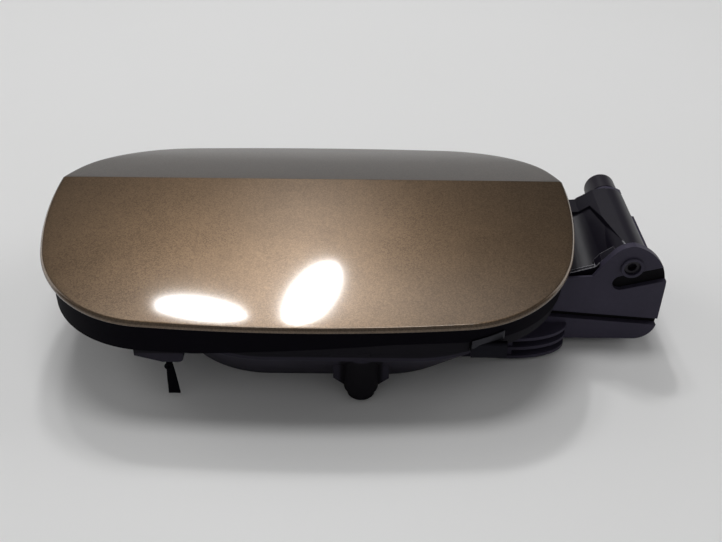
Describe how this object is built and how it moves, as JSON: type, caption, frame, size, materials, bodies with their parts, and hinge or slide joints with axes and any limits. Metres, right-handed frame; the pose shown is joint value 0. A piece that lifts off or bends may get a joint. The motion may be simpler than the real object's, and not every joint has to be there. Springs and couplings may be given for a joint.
{
  "type": "car fuel door",
  "caption": "Oval car fuel door with a painted, creased flap on a goose-neck hinge over a black moulded filler pocket with a drain spout and a flap lock.",
  "frame": {"origin": "filler neck axis at the base of the pocket", "axes": "+Z out of the pocket through the closed flap, +X to the hinge, +Y to the flap's creased upper edge"},
  "size_m": [0.234, 0.134, 0.0509],
  "materials": {
    "bronze_paint": "bronze metallic paint under clear coat",
    "housing_plastic": "satin moulded",
    "arm_plastic": "glossy moulded",
    "pin_plastic": "satin",
    "lock_plastic": "fine moulded grain",
    "bolt_plastic": "natural white",
    "rim_rubber": "matte",
    "neck_rubber": "matte",
    "strap_rubber": "matte, cut end",
    "spring_steel": "spring steel",
    "screw_steel": "zinc plated"
  },
  "bodies": {
    "housing": {"pocket_housing": "housing_plastic", "rim_seal": "rim_rubber", "neck_seal": "neck_rubber", "hinge_pin": "pin_plastic", "leaf_spring": "spring_steel", "spring_screw": "screw_steel", "stop_buffers": "neck_rubber", "tether_strap": "strap_rubber", "body_clips": "spring_steel", "lock_body": "lock_plastic", "lock_cover": "lock_plastic", "lock_screws": "screw_steel", "bolt_seal": "neck_rubber"},
    "flap": {"outer_panel": "bronze_paint", "flap_frame": "arm_plastic", "push_nuts": "spring_steel", "lock_hook": "arm_plastic", "cap_holder": "arm_plastic", "flap_screws": "screw_steel"},
    "lock_bolt": {"lock_bolt": "bolt_plastic"}
  },
  "joints": [
    {"name": "flap_hinge", "type": "hinge", "parent": "housing", "child": "flap", "pos_m": [0.1, 0, 0.037], "axis": [0, 1, 0], "range_deg": [0, 100]},
    {"name": "lock_slide", "type": "slide", "parent": "housing", "child": "lock_bolt", "axis": [1, 0, 0], "range_m": [0, 0.0095]}
  ]
}
